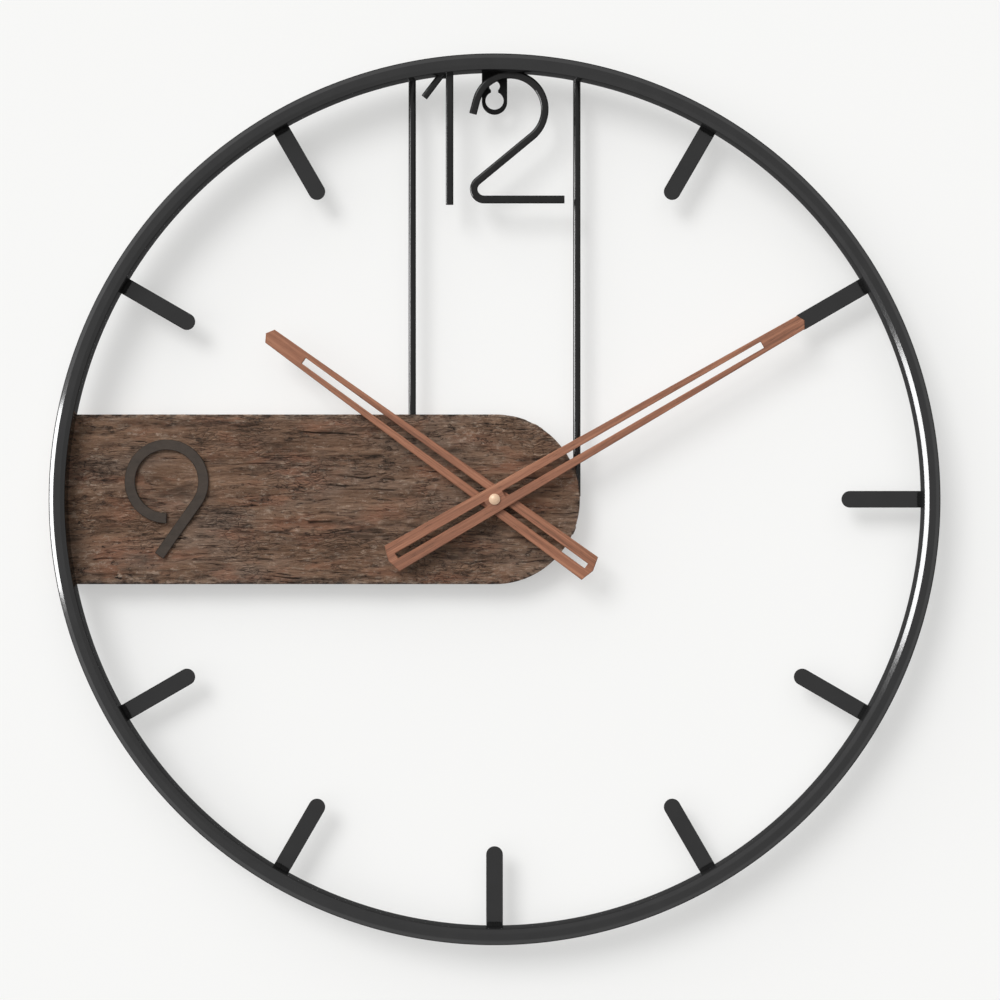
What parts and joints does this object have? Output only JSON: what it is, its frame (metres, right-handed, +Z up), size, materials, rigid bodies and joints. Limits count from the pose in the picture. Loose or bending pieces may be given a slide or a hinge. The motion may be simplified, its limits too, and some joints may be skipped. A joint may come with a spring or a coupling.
{
  "type": "wall clock",
  "caption": "Round open metal wall clock with a weathered board across the left half, bent-bar numerals, flat hour bars, slotted wooden hands and a battery quartz movement.",
  "frame": {"origin": "centre of the hanger tab's small hole, at mid thickness of the tab", "axes": "+Y along the hole towards the wall, +Z up, +X to the right as seen from the front"},
  "size_m": [0.5999, 0.039, 0.6],
  "materials": {
    "black_metal": "satin black powder coat",
    "nine_metal": "dark brown-black paint",
    "board_wood": "weathered, rough-sawn, dark brown",
    "screw_steel": "zinc plated",
    "hand_wood": "smooth reddish walnut",
    "brass": "turned",
    "cap_gold": "pale satin gold",
    "gasket_rubber": "matte",
    "case_plastic": "moulded, fine grain",
    "gear_plastic": "natural acetal",
    "knob_plastic": "moulded, knurled",
    "magnet": "ground",
    "soft_iron": "stamped",
    "bobbin_plastic": "moulded",
    "copper_wire": "enamelled copper wire",
    "circuit_board": "green solder mask",
    "chip_epoxy": "black epoxy",
    "crystal_can": "bright can",
    "battery_can": "wrapped can with bright ends",
    "contact_steel": "nickel plated"
  },
  "bodies": {
    "frame": {"hoop": "black_metal", "hour_marker_1": "black_metal", "hour_marker_2": "black_metal", "hour_marker_3": "black_metal", "hour_marker_4": "black_metal", "hour_marker_5": "black_metal", "hour_marker_6": "black_metal", "hour_marker_7": "black_metal", "hour_marker_8": "black_metal", "hour_marker_10": "black_metal", "hour_marker_11": "black_metal", "rod_left": "black_metal", "rod_right": "black_metal", "numeral_one": "black_metal", "numeral_two": "black_metal", "numeral_nine": "nine_metal", "hanger_tab": "black_metal", "board": "board_wood", "board_screws": "screw_steel", "threaded_bushing": "brass", "hex_nut": "brass", "washer": "brass", "rubber_gasket": "gasket_rubber", "movement_front_case": "case_plastic", "movement_rear_cover": "case_plastic", "stator": "soft_iron", "coil_core": "soft_iron", "coil_bobbin": "bobbin_plastic", "coil_winding": "copper_wire", "circuit_board": "circuit_board", "chip": "chip_epoxy", "crystal": "crystal_can", "battery": "battery_can", "contact_plus": "contact_steel", "contact_minus": "contact_steel"},
    "minute": {"minute_hand": "hand_wood", "minute_hand_bush": "brass", "cap_nut": "cap_gold", "minute_arbor": "brass"},
    "hour": {"hour_hand": "hand_wood", "hour_hand_bush": "brass", "hour_wheel": "gear_plastic"},
    "reverser": {"reverser_wheel": "gear_plastic", "setting_knob": "knob_plastic"},
    "seconds": {"seconds_wheel": "gear_plastic"},
    "centre": {"centre_wheel": "gear_plastic"},
    "third": {"third_wheel": "gear_plastic"},
    "fifth": {"fifth_wheel": "gear_plastic"},
    "rotor": {"rotor_pinion": "gear_plastic", "rotor_magnet": "magnet"}
  },
  "joints": [
    {"name": "minute_turn", "type": "hinge", "parent": "frame", "child": "minute", "pos_m": [0, -0.0122, -0.2804], "axis": [0, 1, 0], "continuous": true},
    {"name": "hour_turn", "type": "hinge", "parent": "frame", "child": "hour", "pos_m": [0, -0.0088, -0.2804], "axis": [0, 1, 0], "continuous": true},
    {"name": "reverser_turn", "type": "hinge", "parent": "frame", "child": "reverser", "pos_m": [0.00927, 0.0062, -0.28288], "axis": [0, 1, 0], "continuous": true},
    {"name": "seconds_turn", "type": "hinge", "parent": "frame", "child": "seconds", "pos_m": [0, 0.0134, -0.2804], "axis": [0, 1, 0], "continuous": true},
    {"name": "centre_turn", "type": "hinge", "parent": "frame", "child": "centre", "pos_m": [0, 0.0084, -0.2804], "axis": [0, 1, 0], "continuous": true},
    {"name": "third_turn", "type": "hinge", "parent": "frame", "child": "third", "pos_m": [-0.00636, 0.0114, -0.27404], "axis": [0, 1, 0], "continuous": true},
    {"name": "fifth_turn", "type": "hinge", "parent": "frame", "child": "fifth", "pos_m": [0.00634, 0.01, -0.27406], "axis": [0, 1, 0], "continuous": true},
    {"name": "rotor_turn", "type": "hinge", "parent": "frame", "child": "rotor", "pos_m": [0.00994, 0.01, -0.26783], "axis": [0, 1, 0], "continuous": true}
  ],
  "couplings": [
    {"joint": "hour_turn", "follows": "minute_turn", "ratio": 0.083333},
    {"joint": "reverser_turn", "follows": "minute_turn", "ratio": -0.33333},
    {"joint": "centre_turn", "follows": "seconds_turn", "ratio": 0.016667},
    {"joint": "third_turn", "follows": "seconds_turn", "ratio": -0.13333},
    {"joint": "fifth_turn", "follows": "seconds_turn", "ratio": -6},
    {"joint": "rotor_turn", "follows": "seconds_turn", "ratio": 30}
  ]
}
